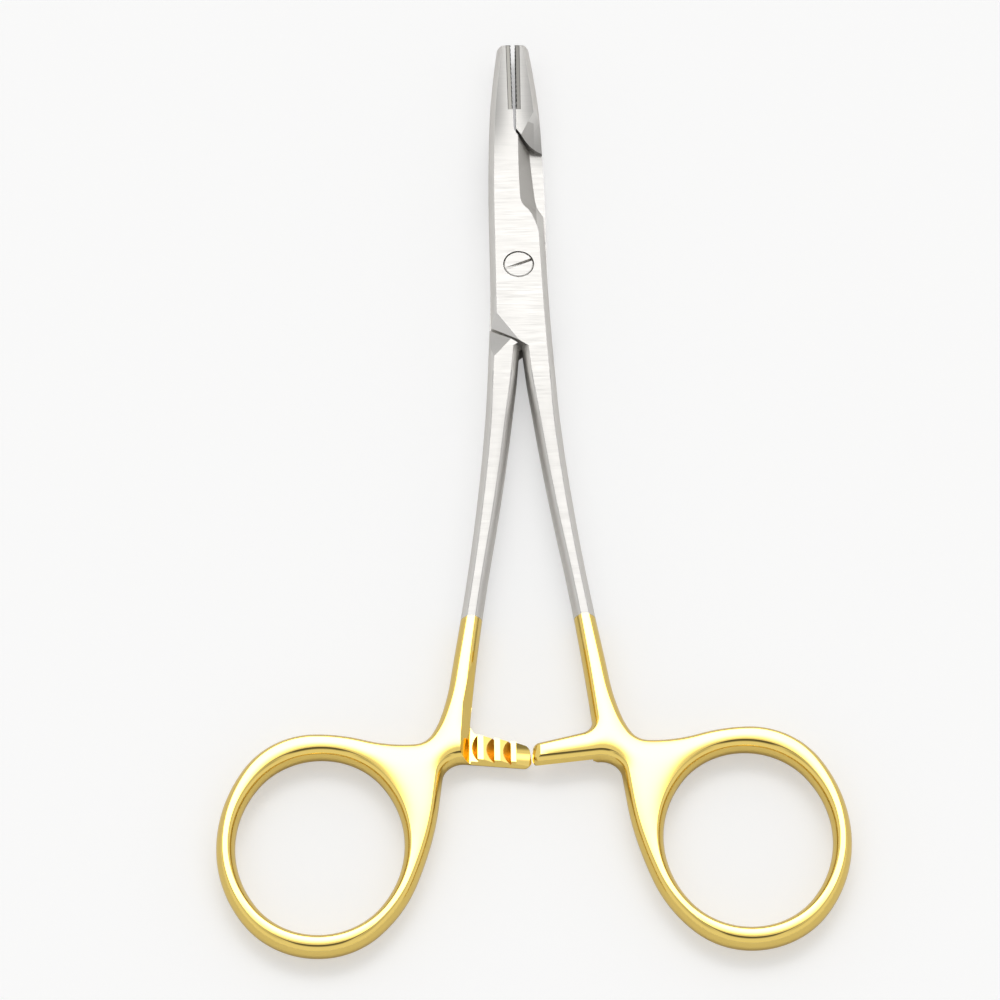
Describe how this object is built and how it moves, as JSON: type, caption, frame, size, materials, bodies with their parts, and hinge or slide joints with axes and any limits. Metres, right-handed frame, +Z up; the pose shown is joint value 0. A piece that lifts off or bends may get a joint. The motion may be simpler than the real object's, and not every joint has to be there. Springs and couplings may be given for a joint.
{
  "type": "needle holder with scissors",
  "caption": "Ring-handled surgical needle holder with scissor blades behind short serrated jaws, a screw lap joint and a ratchet between gold-coloured finger rings.",
  "frame": {"origin": "on the pivot axis, at the plane of the joint's underside, on which the instrument lies", "axes": "+Y along the mid-line from the pivot to the jaw tips, +X to the ring of the upper arm, +Z up along the pivot axis"},
  "size_m": [0.0812, 0.1398, 0.0048],
  "materials": {
    "front_arm": "satin stainless steel, with mirror-polished gold plating from mid-shank to the ring",
    "back_arm": "satin stainless steel, with mirror-polished gold plating from mid-shank to the ring",
    "jaw_insert": "dark grey sintered carbide, cross serrated",
    "pivot_screw": "satin stainless steel, slotted flush head"
  },
  "bodies": {
    "lower_half": {"back_arm": "back_arm", "back_jaw_insert": "jaw_insert", "pivot_screw": "pivot_screw"},
    "upper_half": {"front_arm": "front_arm", "front_jaw_insert": "jaw_insert"}
  },
  "joints": [
    {"name": "pivot", "type": "hinge", "parent": "lower_half", "child": "upper_half", "pos_m": [0, 0, 0.0024], "axis": [0, 0, 1], "range_deg": [-0.8, 40]}
  ]
}
